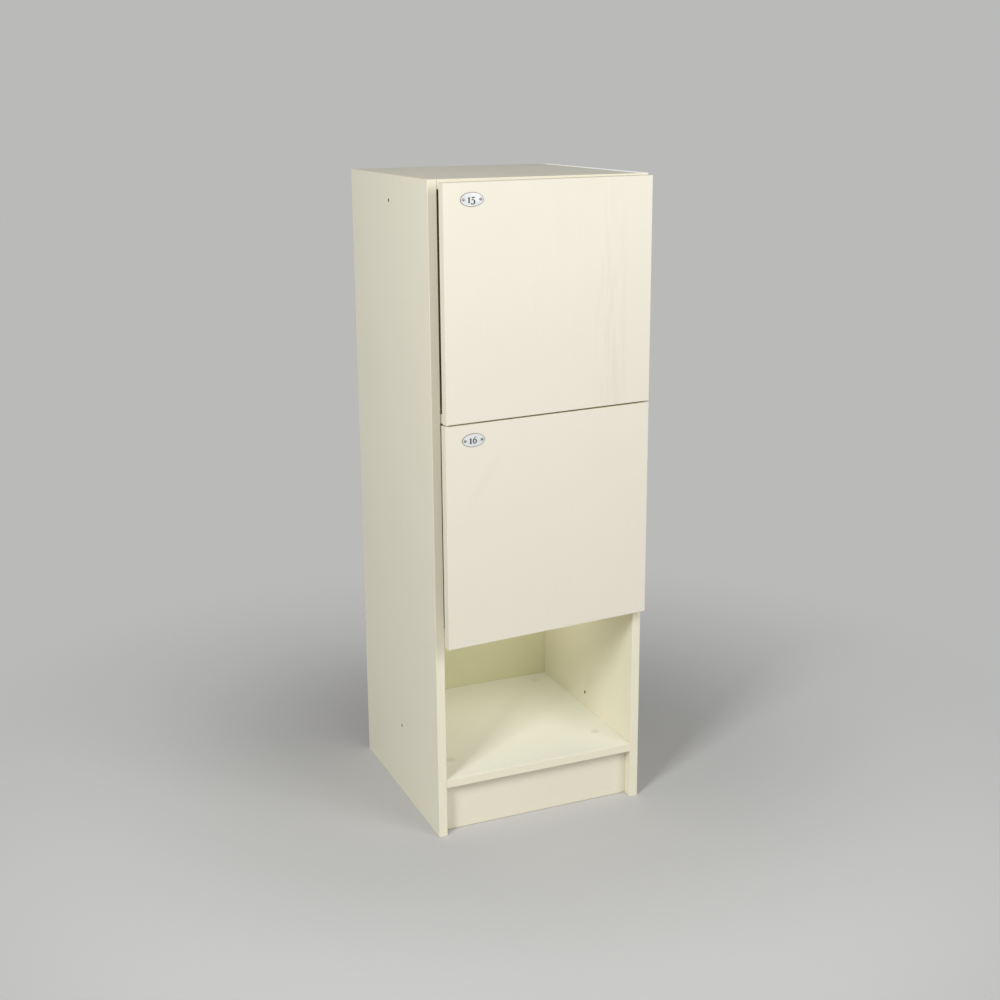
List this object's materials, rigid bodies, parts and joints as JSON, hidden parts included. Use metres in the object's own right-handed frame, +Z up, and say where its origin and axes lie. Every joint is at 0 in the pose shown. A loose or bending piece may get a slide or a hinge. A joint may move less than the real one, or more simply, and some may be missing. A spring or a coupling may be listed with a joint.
{
  "type": "mudroom locker unit",
  "caption": "Narrow cream board locker unit with handleless push-to-open doors stacked above an open cubby, on a recessed plinth, with oval number plates and concealed hinges.",
  "frame": {"origin": "on the floor, in the middle of the ground that the unit covers with its doors ajar", "axes": "+Z up, +Y to the back, +X to the right of a person facing the doors"},
  "size_m": [0.4, 0.4582, 1.156],
  "materials": {
    "cream_board": "satin",
    "door_board": "satin",
    "cream_plastic": "matte",
    "beech": "raw",
    "zinc_steel": "satin",
    "latch_plastic": "matte",
    "white_enamel": "gloss"
  },
  "bodies": {
    "carcass": {"arm_adjusting_screws": "zinc_steel", "arm_fixing_screws": "zinc_steel", "back_panel": "cream_board", "back_panel_screws": "zinc_steel", "bottom_shelf": "cream_board", "cam_bolts": "zinc_steel", "cam_cover_caps": "cream_plastic", "cam_locks": "zinc_steel", "corner_block_screws": "zinc_steel", "cubby_top_shelf": "cream_board", "hinge_plate_screws": "zinc_steel", "latch_screws": "zinc_steel", "left_side_panel": "cream_board", "locker_divider_shelf": "cream_board", "lower_door_bottom_hinge_arm": "zinc_steel", "lower_door_bottom_hinge_plate": "zinc_steel", "lower_door_top_hinge_arm": "zinc_steel", "lower_door_top_hinge_plate": "zinc_steel", "lower_latch_housing": "latch_plastic", "panel_dowels": "beech", "plinth_board": "cream_board", "plinth_corner_blocks": "beech", "right_side_panel": "cream_board", "top_panel": "cream_board", "upper_door_bottom_hinge_arm": "zinc_steel", "upper_door_bottom_hinge_plate": "zinc_steel", "upper_door_top_hinge_arm": "zinc_steel", "upper_door_top_hinge_plate": "zinc_steel", "upper_latch_housing": "latch_plastic"},
    "lower_door": {"lower_door": "door_board", "lower_door_bottom_hinge_cup": "zinc_steel", "lower_door_bottom_hinge_pin": "zinc_steel", "lower_door_cup_screws": "zinc_steel", "lower_door_top_hinge_cup": "zinc_steel", "lower_door_top_hinge_pin": "zinc_steel", "lower_number_plate": "white_enamel", "lower_number_plate_screws": "zinc_steel", "lower_strike_plate": "zinc_steel"},
    "lower_plunger": {"lower_latch_plunger": "latch_plastic"},
    "upper_door": {"upper_door": "door_board", "upper_door_bottom_hinge_cup": "zinc_steel", "upper_door_bottom_hinge_pin": "zinc_steel", "upper_door_cup_screws": "zinc_steel", "upper_door_top_hinge_cup": "zinc_steel", "upper_door_top_hinge_pin": "zinc_steel", "upper_number_plate": "white_enamel", "upper_number_plate_screws": "zinc_steel", "upper_strike_plate": "zinc_steel"},
    "upper_plunger": {"upper_latch_plunger": "latch_plastic"}
  },
  "joints": [
    {"name": "upper_door_swing", "type": "hinge", "parent": "carcass", "child": "upper_door", "pos_m": [0.1913, -0.18287, 0.95975], "axis": [0, 0, 1], "range_deg": [-5.8, 89.2]},
    {"name": "lower_door_swing", "type": "hinge", "parent": "carcass", "child": "lower_door", "pos_m": [0.1913, -0.18287, 0.56925], "axis": [0, 0, 1], "range_deg": [-5.15, 89.85]},
    {"name": "upper_latch_press", "type": "slide", "parent": "carcass", "child": "upper_plunger", "axis": [0, 1, 0], "range_m": [0, 0.0025], "stiffness_N_per_m": 1000, "springref_m": -0.004},
    {"name": "lower_latch_press", "type": "slide", "parent": "carcass", "child": "lower_plunger", "axis": [0, 1, 0], "range_m": [0, 0.0025], "stiffness_N_per_m": 1000, "springref_m": -0.004}
  ]
}
